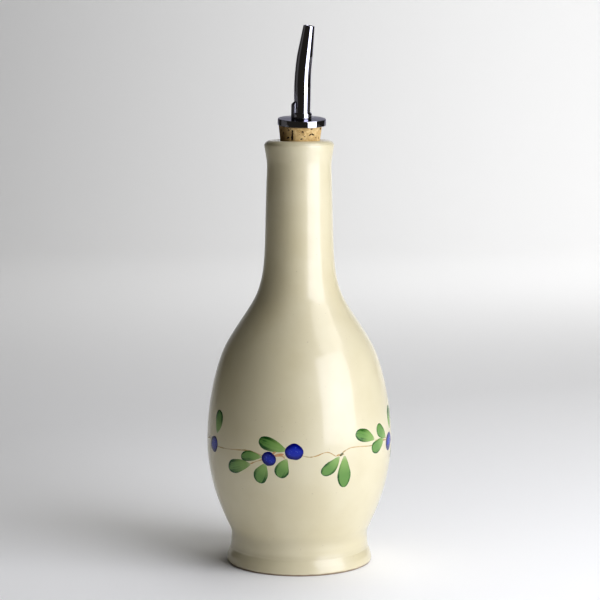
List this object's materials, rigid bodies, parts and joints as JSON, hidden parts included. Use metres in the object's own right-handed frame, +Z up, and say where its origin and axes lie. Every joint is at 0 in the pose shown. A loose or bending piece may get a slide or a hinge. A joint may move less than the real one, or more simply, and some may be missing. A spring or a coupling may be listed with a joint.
{
  "type": "drizzle bottle",
  "caption": "Round glazed stoneware oil bottle with a long neck, shut by a tapered cork that carries a bent, tapered chrome pourer with an air vent.",
  "frame": {"origin": "middle of the foot's flat seat, on the surface that the bottle stands on", "axes": "+Z up the bottle's axis to the mouth, +X towards the side that the spout leans to, -Y the front with the two berries of the painted vine"},
  "size_m": [0.097, 0.097, 0.2815],
  "materials": {
    "glaze": "glossy cream glaze over stoneware, with a painted vine of green leaves and blue berries round the body",
    "cork": "natural cork bark with dark pits and cracks",
    "chrome": "polished chrome plate"
  },
  "bodies": {
    "root": {"bottle": "glaze", "cork": "cork", "pourer_flange": "chrome", "pourer_spout": "chrome", "air_vent": "chrome"}
  },
  "joints": []
}
